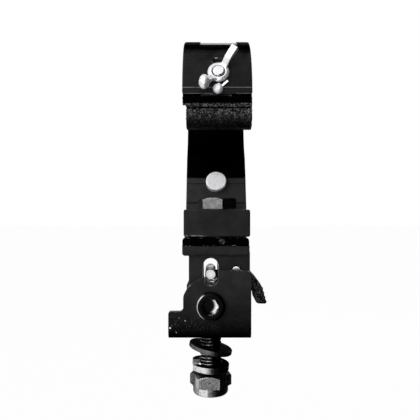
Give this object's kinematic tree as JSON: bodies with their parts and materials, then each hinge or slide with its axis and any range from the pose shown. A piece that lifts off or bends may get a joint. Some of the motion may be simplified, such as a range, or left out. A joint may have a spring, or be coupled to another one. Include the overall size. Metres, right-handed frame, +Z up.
{
  "type": "articulated clamp",
  "caption": "Black hook clamp for a tube, with a sprung gate and wing screw, on a swivel block over a tilting bracket with a release lever and a threaded stud.",
  "frame": {"origin": "centre of the clamped tube, midway along the hook's width", "axes": "+X along the tube, +Z up, and -Y towards the open side of the hook"},
  "size_m": [0.0443, 0.0722, 0.1662],
  "materials": {
    "hook_paint": "satin black coating",
    "swivel_paint": "satin black coating",
    "bracket_paint": "satin black coating, chipped at the edges",
    "gate_cast": "black coating over a gritty casting",
    "lever_cast": "black coating over a gritty casting",
    "zinc_steel": "bright zinc plate",
    "black_steel": "dark oxide with worn edges",
    "nylon": "matte"
  },
  "bodies": {
    "hook": {"hook_body": "hook_paint", "stop_stud": "zinc_steel", "keeper_stud": "zinc_steel", "keeper_clip": "zinc_steel", "gate_pin": "zinc_steel", "gate_spring": "zinc_steel"},
    "gate": {"gate": "gate_cast"},
    "screw": {"clamp_screw": "zinc_steel"},
    "wing": {"wing_nut": "zinc_steel"},
    "swivel": {"swivel_bolt": "black_steel", "swivel_block": "swivel_paint", "set_screw": "black_steel", "lever_pin": "zinc_steel", "lever_spring": "black_steel"},
    "lever": {"release_lever": "lever_cast", "lock_pin": "zinc_steel"},
    "bracket": {"tilt_bracket": "bracket_paint", "index_block": "black_steel", "index_screw_left": "zinc_steel", "index_screw_right": "zinc_steel", "pivot_screw": "black_steel", "pivot_sleeve": "zinc_steel", "thrust_washer_front": "zinc_steel", "thrust_washer_back": "zinc_steel", "index_spacer_front": "zinc_steel", "index_spacer_back": "zinc_steel", "pivot_nut": "black_steel", "base_stud": "black_steel"},
    "flat": {"flat_washer": "black_steel"},
    "spring": {"spring_washer": "black_steel"},
    "insert": {"nylon_insert": "nylon"},
    "nut": {"lock_nut": "black_steel"}
  },
  "joints": [
    {"name": "gate_swing", "type": "hinge", "parent": "hook", "child": "gate", "pos_m": [0, -0.02875, -0.0003], "axis": [1, 0, 0], "range_deg": [0, 45], "stiffness_Nm_per_rad": 0.02, "springref_deg": -28.65},
    {"name": "screw_advance", "type": "slide", "parent": "hook", "child": "screw", "axis": [0, -0.9466, 0.3224], "range_m": [0, 0.0032]},
    {"name": "wing_turn", "type": "hinge", "parent": "screw", "child": "wing", "pos_m": [0.0005, -0.03029, 0.01032], "axis": [0, -0.9466, 0.3224], "range_deg": [0, 1440]},
    {"name": "swivel_turn", "type": "hinge", "parent": "hook", "child": "swivel", "pos_m": [0.0003, -0.008, -0.0603], "axis": [0, 0, 1], "continuous": true},
    {"name": "body_tilt", "type": "hinge", "parent": "swivel", "child": "bracket", "pos_m": [-0.0028, -0.008, -0.0899], "axis": [0, 1, 0], "range_deg": [0, 90]},
    {"name": "lever_squeeze", "type": "hinge", "parent": "swivel", "child": "lever", "pos_m": [0.0087, -0.008, -0.0752], "axis": [0, 1, 0], "range_deg": [-9, 20], "stiffness_Nm_per_rad": 0.15},
    {"name": "flat_washer_slide", "type": "slide", "parent": "bracket", "child": "flat", "axis": [0, 0, 1], "range_m": [0, 0.0046]},
    {"name": "spring_washer_slide", "type": "slide", "parent": "bracket", "child": "spring", "axis": [0, 0, 1], "range_m": [0, 0.0014]},
    {"name": "nut_advance", "type": "slide", "parent": "bracket", "child": "insert", "axis": [0, 0, -1], "range_m": [0, 0.003]},
    {"name": "nut_turn", "type": "hinge", "parent": "insert", "child": "nut", "pos_m": [-0.0028, -0.008, -0.1274], "axis": [0, 0, -1], "range_deg": [0, 720]}
  ],
  "couplings": [
    {"joint": "wing_turn", "follows": "screw_advance", "rad_per_m": 7854},
    {"joint": "nut_turn", "follows": "nut_advance", "rad_per_m": 4188.8}
  ]
}
